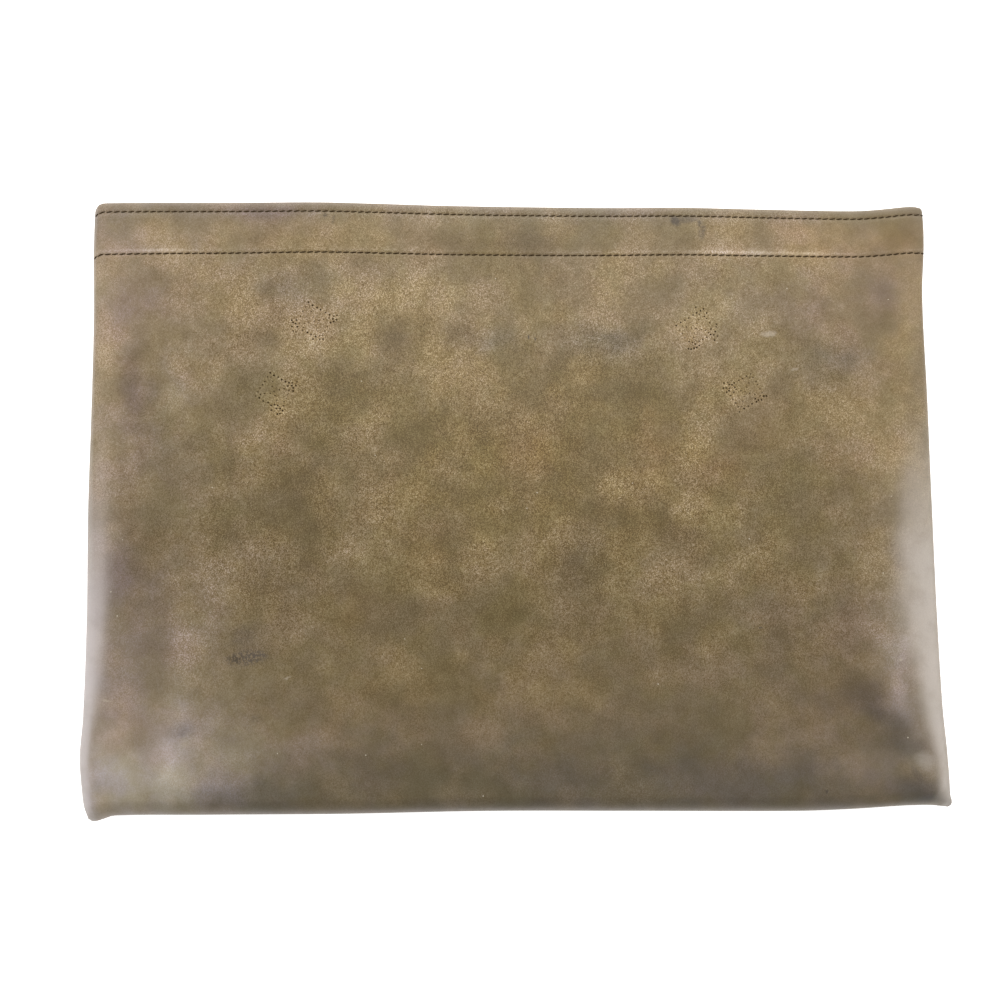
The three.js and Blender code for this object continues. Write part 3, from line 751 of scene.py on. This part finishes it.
def panel_shell(side, stations, clouds, seed, holes):
    """One leather panel as a closed shell, with the outer grid's points."""
    shell = Shell(side)
    zero = np.zeros(len(stations.climb))
    outer_points, across, up = panel_grid(side, stations, zero, 0.0, True)
    below = column_of(stations.below)
    tone = tone_of(clouds, seed, across, up, below)
    grain = grain_of(across, up)
    wear_and_sheen = sheen_and_wear_of(outer_points, up, below)
    # Grime and the thread's painted shadow along the rows, between the needle holes
    near_thread = sum(bell(below - row, THREAD_DIRT_AND_SHADOW_REACH) for row in STITCH_ROWS)
    dirt_and_shadow = THREAD_DIRT_AND_SHADOW * near_thread * (1 - stations.at_needle)
    outer = shell.add(outer_points, tone, wear_and_sheen=wear_and_sheen, pit=dirt_and_shadow, grain=grain)
    inner_points, _, _ = panel_grid(side, stations, stations.wall, WALL, False)
    flesh = column_of(~stations.hem).astype(float)
    inner = shell.add(inner_points, tone, flesh=flesh)

    replaced = set()
    if holes:
        paint = np.concatenate([outer_points, tone, grain[..., None]], axis=-1)
        for tab in TABS:
            replaced |= sunk_patch(shell, outer, paint, tab, holes)
    for j in range(len(outer) - 1):
        shell.strip(outer[j], outer[j + 1], skip={i for (row, i) in replaced if row == j})
        shell.strip(inner[j + 1], inner[j])

    # The mouth's fold is a half round from the outer face to the hem's inner face.
    fold = [outer[-1]]
    for k in range(1, FOLD_STEPS):
        turn = math.pi * k / FOLD_STEPS
        share = (1 - math.cos(turn)) / 2
        points = outer_points[-1] * (1 - share) + inner_points[-1] * share
        points[:, 1] += WALL * math.sin(turn)
        fold.append(shell.add(points, tone[-1], wear_and_sheen=FOLD_WEAR * math.sin(turn)))
    fold.append(inner[-1])
    for first, second in zip(fold, fold[1:]):
        shell.strip(first, second)

    # The seam allowance lies flat against the other panel: sewn face, cut edge and inner face.
    allowance = np.full(len(stations.climb), SEAM_ALLOWANCE)
    rings = []
    for depth in (0.0, WALL):
        points, _, _ = panel_grid(side, stations, allowance, depth, False)
        rings.append(shell.add(points.reshape(-1, 3)[seam_path(outer)], PLAIN_TONE, flesh=1.0))
    sewn, cut = rings
    shell.strip(sewn, seam_path(outer))
    shell.strip(cut, sewn)
    shell.strip(seam_path(inner), cut)
    left_rim = [sewn[0], *(row[0] for row in fold)]
    right_rim = [sewn[-1], *(row[-1] for row in fold)]
    for first, second in zip(left_rim, left_rim[1:]):
        shell.face(cut[0], first, second)
    for first, second in zip(right_rim, right_rim[1:]):
        shell.face(cut[-1], second, first)
    return shell, outer_points


# Needle holes

def tab_holes():
    """The needle holes of the four tabs that were sewn to the front."""
    random = np.random.default_rng(HOLE_SEED)
    holes = []
    for tab in TABS:
        turn = math.radians(tab.turn)
        long = np.array([math.cos(turn), math.sin(turn)]) * tab.long / 2
        wide = np.array([-math.sin(turn), math.cos(turn)]) * tab.wide / 2
        middle = np.array([tab.across, tab.up])
        corner = {(a, b): middle + a * long + b * wide for a in (-1, 1) for b in (-1, 1)}
        for (start, end), clear in zip(TAB_LINES, tab.sides):
            run = corner[end] - corner[start]
            count = round(float(np.hypot(*run)) / HOLE_PITCH)
            for k in range(count):
                place = corner[start] + run * k / count + random.normal(0, HOLE_JITTER, 2)
                holes.append(Hole(*place, clear * random.uniform(*SEWN_CLEAR)))
        for crowd in tab.crowded:
            for _ in range(CROWD_HOLES):
                place = corner[crowd] + random.normal(0, CROWD_REACH / 2, 2)
                holes.append(Hole(*place, random.uniform(*CROWD_CLEAR)))
    return holes


def between(grid, columns, rows):
    """The values of a grid at places between its points."""
    i, j = columns.astype(int), rows.astype(int)
    u, v = (columns - i)[:, None], (rows - j)[:, None]
    low = grid[j, i] * (1 - u) + grid[j, i + 1] * u
    high = grid[j + 1, i] * (1 - u) + grid[j + 1, i + 1] * u
    return low * (1 - v) + high * v


def clear_of(holes, across, up, distance):
    """Whether a place is further than the distance from every hole."""
    return all(math.hypot(across - hole.across, up - hole.up) > distance for hole in holes)


def spaced(holes, tab):
    """The holes of one tab, without those that would run into a clearer one."""
    kept = []
    for hole in sorted(holes, key=lambda hole: -hole.clear):
        away = max(abs(hole.across - tab.across), abs(hole.up - tab.up))
        inside = away < PATCH_REACH - PATCH_MARGIN
        if inside and clear_of(kept, hole.across, hole.up, HOLE_SPACING):
            kept.append(hole)
    return kept


def hole_rings(holes):
    """The places of the holes' rings, how far each sinks, its painted shade and pale, and the rings'
    edges.
    """
    turns = np.linspace(0, 2 * math.pi, HOLE_SIDES, endpoint=False)
    spots, paint, edges = [], [], []
    for hole in holes:
        clear = min(hole.clear, 1.0)
        dark = FAINT_DARK + (1 - FAINT_DARK) * clear
        radius = HOLE_RADIUS * (FAINT_REACH + (1 - FAINT_REACH) * clear)
        for ring in HOLE_RINGS:
            first = len(spots)
            for turn in turns:
                dx, dy = ring.reach * radius * math.cos(turn), ring.reach * radius * math.sin(turn)
                spots.append((hole.across + dx, hole.up + dy))
            paint += [(ring.sink * clear, ring.dark * dark, ring.pale)] * HOLE_SIDES
            edges += [(first + k, first + (k + 1) % HOLE_SIDES) for k in range(HOLE_SIDES)]
    return np.array(spots), np.array(paint).T, edges


def sunk_patch(shell, outer, paint, tab, holes):
    """Cuts the outer face around a tab anew with needle holes; gives the cells that it replaces."""
    row = int(np.argmin(np.abs(paint[:, paint.shape[1] // 2, 1] - tab.up)))
    column = int(np.argmin(np.abs(paint[row, :, 0] - tab.across)))
    near_rows = np.nonzero(np.abs(paint[:, column, 1] - tab.up) < PATCH_REACH)[0]
    near_columns = np.nonzero(np.abs(paint[row, :, 0] - tab.across) < PATCH_REACH)[0]
    holes = spaced(holes, tab)
    spots, (sinks, darks, pales), edges = hole_rings(holes)
    columns = np.interp(spots[:, 0], paint[row, :, 0], np.arange(paint.shape[1]))
    rows = np.interp(spots[:, 1], paint[:, column, 1], np.arange(paint.shape[0]))
    ring_paint = between(paint, columns, rows)
    ring_paint[:, 3:6] *= pales[:, None]
    points = ring_paint[:, :3].copy()
    points[:, 2] -= sinks
    numbers = list(shell.add(points, ring_paint[:, 3:7], pit=darks, grain=ring_paint[:, 7]))
    places = list(zip(columns, rows))
    for j in near_rows:
        for i in near_columns:
            x, y = paint[j, i, :2]
            at_end = i in (near_columns[0], near_columns[-1])
            border = at_end or j in (near_rows[0], near_rows[-1])
            if border or clear_of(holes, x, y, HOLE_CLEARANCE):
                places.append((float(i), float(j)))
                numbers.append(outer[j, i])
    vectors = [Vector(place) for place in places]
    _, _, triangles, origins, _, _ = delaunay_2d_cdt(vectors, edges, [], 0, CUT_TOLERANCE)
    for triangle in triangles:
        shell.face(*(numbers[origins[corner][0]] for corner in triangle))
    return {(j, i) for j in near_rows[:-1] for i in near_columns[:-1]}


# Thread

def unit(vectors):
    return vectors / np.linalg.norm(vectors, axis=1, keepdims=True)


def on_line(line, spot):
    """The values of a line of points at places between them."""
    columns = np.arange(len(line))
    return np.stack([np.interp(spot, columns, line[:, axis]) for axis in range(3)], axis=-1)


def hem_thread(name, side, stations, points, shift):
    """Both rows of a panel's hem stitches, each a twisted thread that dives into its needle holes."""
    t = np.linspace(0, 1, THREAD_STEPS + 1)
    turns = np.linspace(0, 2 * math.pi, THREAD_SIDES, endpoint=False)
    stand = FRONT_STAND if side > 0 else BACK_STAND
    arch = np.sin(math.pi * t)
    rise = (THREAD_DIVE + stand) * arch**THREAD_ARCH - THREAD_DIVE
    taper = THREAD_END + (1 - THREAD_END) * arch**0.5
    ply = 1 + THREAD_PLY * np.cos(2 * (turns[None, :] - 2 * math.pi * t[:, None]))
    slant = side * THREAD_SLANT * (t - 0.5)
    stitch_size = len(t) * THREAD_SIDES
    vertices, faces = [], []
    for row, thread_radius in zip(STITCH_ROWS, THREAD_RADII):
        lift = thread_radius * rise - BRIDGE_RISE * np.abs(2 * t - 1)
        radius = (thread_radius * taper)[:, None] * ply
        j = int(np.argmin(np.abs(stations.below - row)))
        line = points[j]
        uphill = points[j + 1] - points[j - 1]
        normal = unit(side * np.cross(np.gradient(line, axis=0), uphill))
        for first, last in zip(stations.needle[1:-2], stations.needle[2:-1]):
            spot = first + (last - first) * (THREAD_START + (1 - 2 * THREAD_START) * t)
            path = on_line(line, spot)
            out = unit(on_line(normal, spot))
            beside = np.cross(out, unit(np.gradient(path, axis=0)))
            path = path + out * lift[:, None] + beside * slant[:, None]
            level = np.cos(turns)[None, :, None] * beside[:, None]
            upright = np.sin(turns)[None, :, None] * out[:, None]
            rings = path[:, None] + radius[..., None] * (level + upright)
            number = len(vertices) * stitch_size + np.arange(stitch_size).reshape(-1, THREAD_SIDES)
            vertices.append(rings.reshape(-1, 3))
            for k in range(THREAD_STEPS):
                for s in range(THREAD_SIDES):
                    n = (s + 1) % THREAD_SIDES
                    faces.append([number[k, s], number[k, n], number[k + 1, n], number[k + 1, s]])
            faces.append(list(number[0][::-1]))
            faces.append(list(number[-1]))
    mesh = bpy.data.meshes.new(name)
    placed = (np.concatenate(vertices) + shift) * MM
    mesh.from_pydata(placed.tolist(), [], [[int(i) for i in face] for face in faces])
    mesh.shade_smooth()
    return linked(name, mesh)


# Materials

class Nodes:
    """Writes a material's nodes in few words."""

    def __init__(self, name):
        self.material = bpy.data.materials.new(name)
        self.material.use_nodes = True
        self.tree = self.material.node_tree
        self.tree.nodes.clear()
        self.place = self.add("TexCoord").outputs["Object"]

    def add(self, kind, inputs=None, **settings):
        """A new node. Each input is given a constant or another node's output."""
        node = self.tree.nodes.new("ShaderNode" + kind)
        for name, value in settings.items():
            setattr(node, name, value)
        for name, value in (inputs or {}).items():
            if isinstance(value, bpy.types.NodeSocket):
                self.tree.links.new(value, node.inputs[name])
            else:
                node.inputs[name].default_value = value
        return node

    def math(self, operation, *values):
        return self.add("Math", dict(enumerate(values)), operation=operation).outputs[0]

    def vector(self, operation, *values):
        return self.add("VectorMath", dict(enumerate(values)), operation=operation).outputs

    def split(self, colour):
        return self.add("SeparateColor", {0: colour}).outputs

    def noise(self, size, detail=2.0, roughness=0.5, place=None, colour=False):
        """Noise whose main features are size millimetres across."""
        inputs = {"Vector": place or self.place, "Scale": 1 / (size * MM)}
        inputs |= {"Detail": detail, "Roughness": roughness}
        return self.add("TexNoise", inputs).outputs[1 if colour else 0]

    def cells(self, size, output="Distance"):
        inputs = {"Vector": self.place, "Scale": 1 / (size * MM)}
        return self.add("TexVoronoi", inputs).outputs[output]

    def band(self, value, low, high, start=0.0, end=1.0):
        """A smooth step of value from start at low to end at high."""
        inputs = {"Value": value, "From Min": low, "From Max": high, "To Min": start, "To Max": end}
        return self.add("MapRange", inputs, interpolation_type="SMOOTHSTEP").outputs["Result"]

    def mix(self, share, first, second, blend="MIX"):
        inputs = {0: share, 6: first, 7: second}
        return self.add("Mix", inputs, data_type="RGBA", blend_type=blend).outputs[2]

    def tinted(self, colour, tint):
        return self.mix(1.0, colour, tint, "MULTIPLY")

    def warped(self, amount, size):
        """The place, shaken by noise by up to about half the amount, in millimetres."""
        noise = self.noise(size, 3, 0.6, colour=True)
        shaken = self.vector("MULTIPLY_ADD", noise, (amount * MM,) * 3, self.place)[0]
        return self.vector("SUBTRACT", shaken, (amount * MM / 2,) * 3)[0]

    def spot(self, mark, place, shift):
        """1 within a mark's oval, 0 outside it."""
        middle = (np.array([mark.across, mark.up, 0]) + shift) * MM
        inputs = {"Vector": place, "Location": tuple(middle)}
        inputs["Rotation"] = (0, 0, math.radians(mark.turn))
        inputs["Scale"] = (mark.long * MM, mark.wide * MM, 1.0)
        turned = self.add("Mapping", inputs, vector_type="TEXTURE").outputs[0]
        return self.band(self.vector("LENGTH", turned)["Value"], 1.0, MARK_CORE)

    def finish(self, colour, roughness, height, distance, **constants):
        bump = self.add("Bump", {"Height": height, "Distance": distance * MM})
        inputs = {name.replace("_", " "): value for name, value in constants.items()}
        inputs |= {"Base Color": colour, "Roughness": roughness, "Normal": bump.outputs[0]}
        shader = self.add("BsdfPrincipled", inputs)
        self.add("OutputMaterial", {"Surface": shader.outputs[0]})
        return self.material


# The leather's colours
HIDE = (0.1735, 0.1255, 0.0590, 1)
SMOOTH = (0.78, 0.775, 0.75, 1)
SANDY = (1.06, 1.05, 1.02, 1)
GREENER = (0.99, 1.00, 0.98, 1)
REDDER = (1.015, 0.99, 0.99, 1)
YELLOWER = (1.00, 1.00, 0.925, 1)
GREYER = (1.00, 1.00, 1.085, 1)
# The grey of the painted reflection along the side seams and the foot, also laid on the scuffed mouth and
# fold
WORN_AND_SHEEN_LEFT = (0.515, 0.463, 0.455, 1)
WORN_AND_SHEEN_RIGHT = (0.515, 0.462, 0.418, 1)
FLESH = (0.17, 0.105, 0.055, 1)
PALE_FLESH = (0.26, 0.17, 0.095, 1)
# Painted shade inside the needle holes, also laid along the thread
HOLE_DARK = (0.042, 0.020, 0.001, 1)
DUST = (0.55, 0.50, 0.40, 1)

# The size of its patterns in millimetres, and how strongly each shows
BLOTCH_SIZE = 24
FINISH_BAND = (0.30, 0.70)
LEAN_GAIN = 0.45
DRIFT_SIZE = 24
DRIFT_BAND = (0.38, 0.62)
SAND_SIZE = 0.34
SAND_GAIN = 1.10
SAND_MIDDLE = -0.56
SAND_CONTRAST = (5.2, 7.1, 18.0)
SANDY_GAIN = 0.50
SMOOTH_SAND = 0.52
GRAIN_SIZE = 1.0
MOTTLE_SIZE = 9
MOTTLE_GAIN = 0.26
MOTTLE_BASE = 0.20
WORN_AND_SHEEN_BAND = (0.25, 0.6, 0.85, 1.0)
SIDE_BLEND = 50
RAGGED_REACH = 2.4
RAGGED_SIZE = 2.6
CRUMB_SIZE = 1.0
CRUMB_BAND = (0.42, 0.58)
MARK_CORE = 0.3
DUST_SPACING = 13
DUST_REACH = 0.022
DUST_SHARE = 0.7
ROUGH_BASE = 0.35
ROUGH_GAIN = 0.3
RAW_ROUGH = 0.35
SAND_HEIGHT = 0.5
LEATHER_BUMP = 0.04

# The thread's and the table's colours
THREAD_DARK = (0.024, 0.0135, 0.005, 1)
THREAD_PALE = (0.062, 0.038, 0.017, 1)
FIBRE_SIZE = 0.22
FIBRE_BAND = (0.3, 0.75)
TABLE_GREY = (0.86, 0.86, 0.855, 1)
TABLE_WHITE = (0.885, 0.885, 0.88, 1)
TABLE_GLOW = 0.7


def antiqued(n, tone):
    """The colour under the sand, and the finish: smooth and dark at 0, pale and sandy at 1."""
    lean = n.math("MULTIPLY_ADD", tone.outputs["Alpha"], LEAN_GAIN, -LEAN_GAIN / 2)
    blotch = n.noise(BLOTCH_SIZE, 4, 0.55)
    finish = n.band(n.math("ADD", blotch, lean), *FINISH_BAND)
    colour = n.tinted(tone.outputs["Color"], HIDE)
    colour = n.tinted(colour, n.mix(finish, SMOOTH, SANDY))
    drift = n.split(n.noise(DRIFT_SIZE, 3, 0.6, colour=True))
    for channel, low, high in ((0, GREENER, REDDER), (1, YELLOWER, GREYER)):
        share = n.band(drift[channel], *DRIFT_BAND)
        colour = n.mix(share, n.tinted(colour, low), n.tinted(colour, high))
    return colour, finish


def sanded(n, colour, finish, sand, mottle, amount):
    """The colour with its sandy flecks and mottling, each of which shifts the channels unequally."""
    fleck = n.math("MULTIPLY_ADD", sand, SAND_GAIN, SAND_MIDDLE)
    sandy = n.math("MULTIPLY", amount, n.math("MULTIPLY_ADD", finish, SANDY_GAIN, SMOOTH_SAND))
    patchy = n.math("MULTIPLY_ADD", amount, MOTTLE_GAIN, MOTTLE_BASE)
    patch = n.math("MULTIPLY", n.math("SUBTRACT", mottle, 0.5), patchy)
    depth = n.math("MULTIPLY_ADD", fleck, sandy, patch)
    swing = {k: n.math("POWER", contrast, depth) for k, contrast in enumerate(SAND_CONTRAST)}
    return n.tinted(colour, n.add("CombineColor", swing).outputs[0])


def worn_and_sheened(n, colour, wear_and_sheen, mottle):
    """The colour with the grey of the painted reflection along the sides and foot and of the scuffed
    mouth, which is browner on the right.
    """
    rub_and_sheen = n.math("MULTIPLY", wear_and_sheen, n.band(mottle, *WORN_AND_SHEEN_BAND))
    across = n.add("SeparateXYZ", {0: n.place}).outputs[0]
    side = n.band(across, -SIDE_BLEND * MM, SIDE_BLEND * MM)
    return n.mix(rub_and_sheen, colour, n.mix(side, WORN_AND_SHEEN_LEFT, WORN_AND_SHEEN_RIGHT))


def marked(n, colour, marks, shift):
    """The colour with the stains, scratches and painted highlights, and a few specks of dust."""
    ragged = n.warped(RAGGED_REACH, RAGGED_SIZE)
    crumbs = n.band(n.noise(CRUMB_SIZE, 2, 0.6, place=ragged), *CRUMB_BAND)
    for mark in marks:
        whole = n.math("MULTIPLY_ADD", crumbs, mark.broken, 1 - mark.broken)
        strength = n.math("MULTIPLY", whole, mark.strength)
        share = n.math("MULTIPLY", n.spot(mark, ragged, shift), strength)
        colour = n.mix(share, colour, (*mark.colour, 1))
    dust = n.math("LESS_THAN", n.cells(DUST_SPACING), DUST_REACH)
    return n.mix(n.math("MULTIPLY", dust, DUST_SHARE), colour, DUST)


def leather(name, marks, shift):
    """Antiqued leather: smooth dark and sandy pale clouds, a painted reflection along the edges, stains,
    and needle holes with painted shade inside.
    """
    n = Nodes(name)
    tone = n.add("Attribute", attribute_name="tone")
    state = n.add("Attribute", attribute_name="state")
    wear_and_sheen, flesh, pit = n.split(state.outputs["Color"])
    sand = n.cells(SAND_SIZE, output="Color")
    grain = n.noise(GRAIN_SIZE, 1, 0.5)
    mottle = n.noise(MOTTLE_SIZE, 3, 0.55)

    colour, finish = antiqued(n, tone)
    colour = sanded(n, colour, finish, sand, mottle, state.outputs["Alpha"])
    colour = worn_and_sheened(n, colour, wear_and_sheen, mottle)
    colour = marked(n, colour, marks, shift)
    colour = n.mix(flesh, colour, n.mix(mottle, FLESH, PALE_FLESH))
    # Painted shade inside the needle holes, and grime and painted shadow along the thread
    colour = n.mix(pit, colour, HOLE_DARK)

    rough = n.math("MULTIPLY_ADD", grain, ROUGH_GAIN, ROUGH_BASE)
    rough = n.math("ADD", rough, n.math("MULTIPLY", n.math("ADD", flesh, pit), RAW_ROUGH))
    height = n.math("ADD", n.math("MULTIPLY", sand, SAND_HEIGHT), grain)
    return n.finish(colour, rough, height, LEATHER_BUMP, IOR=1.45, Specular_IOR_Level=0.32,
                    Sheen_Weight=0.04, Sheen_Roughness=0.45)


def thread_material():
    """Dark waxed thread with a little fluff."""
    n = Nodes("thread")
    fibre = n.noise(FIBRE_SIZE, 3, 0.6)
    colour = n.mix(n.band(fibre, *FIBRE_BAND), THREAD_DARK, THREAD_PALE)
    rough = n.math("MULTIPLY_ADD", fibre, 0.2, 0.65)
    return n.finish(colour, rough, fibre, 0.05, Specular_IOR_Level=0.10)


def table_material():
    """White table board that glows a little, which lightens the shadows on it."""
    n = Nodes("table")
    colour = n.mix(n.noise(60, 3, 0.5), TABLE_GREY, TABLE_WHITE)
    rough = n.math("MULTIPLY_ADD", n.noise(4), 0.1, 0.6)
    return n.finish(colour, rough, n.noise(1.5), 0.01,
                    Emission_Color=(1, 1, 1, 1), Emission_Strength=TABLE_GLOW)


# The pieces

def random_clouds():
    """Clouds for the back, drawn at random."""
    random = np.random.default_rng(BACK_CLOUD_SEED)
    return [
        Cloud(
            across=random.uniform(-BACK_REACH, BACK_REACH),
            up=random.uniform(0, HEIGHT),
            long=random.uniform(*BACK_LONG),
            wide=random.uniform(*BACK_WIDE),
            turn=random.uniform(0, 180),
            tint=BACK_TINTS[random.integers(len(BACK_TINTS))],
            strength=random.uniform(*BACK_STRENGTH),
        )
        for _ in range(BACK_CLOUD_COUNT)
    ]


front_stations = Stations(FRONT_UP_STEPS)
back_stations = Stations(BACK_UP_STEPS)
front_shell, front_points = panel_shell(1, front_stations, CLOUDS, FRONT_SEED, tab_holes())
back_shell, back_points = panel_shell(-1, back_stations, random_clouds(), BACK_SEED, ())

# The pouch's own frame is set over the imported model's box.
everything = np.concatenate(front_shell.points + back_shell.points)
own_low, own_high = everything.min(axis=0), everything.max(axis=0)
shift = (np.array(cad_low) + np.array(cad_high)) / 2 / MM - (own_low + own_high) / 2
shift[2] = cad_low[2] / MM - own_low[2]

front = front_shell.build("front_leather", shift)
back = back_shell.build("back_leather", shift)
front_thread = hem_thread("front_hem_thread", 1, front_stations, front_points, shift)
back_thread = hem_thread("back_hem_thread", -1, back_stations, back_points, shift)

front.data.materials.append(leather("front_leather", MARKS, shift))
back.data.materials.append(leather("back_leather", (), shift))
thread = thread_material()
front_thread.data.materials.append(thread)
back_thread.data.materials.append(thread)

for piece, slot in (
    (front, "front_leather"),
    (back, "back_leather"),
    (front_thread, "thread"),
    (back_thread, "thread"),
):
    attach(piece, "root")
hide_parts("front_panel")
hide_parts("back_panel")


# The table, the light and the camera

TABLE_REACH = 3.0
CAMERA_PLACE = (-0.023337, -0.035371, 0.48505)
CAMERA_TURN = (4.4283, -1.7552, -0.4077)
CAMERA_LENS = 37.8
CAMERA_SENSOR = 36.0
CAMERA_NEAR = 0.01

Lamp = namedtuple("Lamp", "name place aim size power")
LAMPS = (
    Lamp("window", (0.05, 0.70, 0.70), (0, 0.05, 0), 0.9, 9),
    Lamp("left_fill", (-1.3, 0.1, 0.7), (0, 0, 0), 1.2, 6),
    Lamp("right_fill", (1.3, 0.2, 0.7), (0, 0, 0), 1.2, 6),
)
SKY_STRENGTH = 0.5


def make_table():
    reach = TABLE_REACH
    corners = [(-reach, -reach, 0), (reach, -reach, 0), (reach, reach, 0), (-reach, reach, 0)]
    mesh = bpy.data.meshes.new("table")
    mesh.from_pydata(corners, [], [(0, 1, 2, 3)])
    mesh.materials.append(table_material())
    table = linked("table", mesh)


def make_lamp(lamp):
    data = bpy.data.lights.new(lamp.name, "AREA")
    data.shape = "DISK"
    data.size = lamp.size
    data.energy = lamp.power
    light = linked(lamp.name, data)
    light.location = lamp.place
    away = light.location - Vector(lamp.aim)
    light.rotation_euler = away.to_track_quat("Z", "Y").to_euler()
    light.visible_camera = False


def make_sky():
    world = bpy.data.worlds.new("sky")
    world.use_nodes = True
    background = world.node_tree.nodes["Background"]
    background.inputs["Color"].default_value = (1, 1, 1, 1)
    background.inputs["Strength"].default_value = SKY_STRENGTH
    bpy.context.scene.world = world


def make_camera():
    data = bpy.data.cameras.new("camera")
    data.lens = CAMERA_LENS
    data.sensor_width = CAMERA_SENSOR
    data.clip_start = CAMERA_NEAR
    camera = linked("camera", data)
    camera.location = CAMERA_PLACE
    camera.rotation_euler = [math.radians(turn) for turn in CAMERA_TURN]
    bpy.context.scene.camera = camera


make_table()
for lamp in LAMPS:
    make_lamp(lamp)
make_sky()
make_camera()
bpy.context.scene.view_settings.view_transform = "Standard"
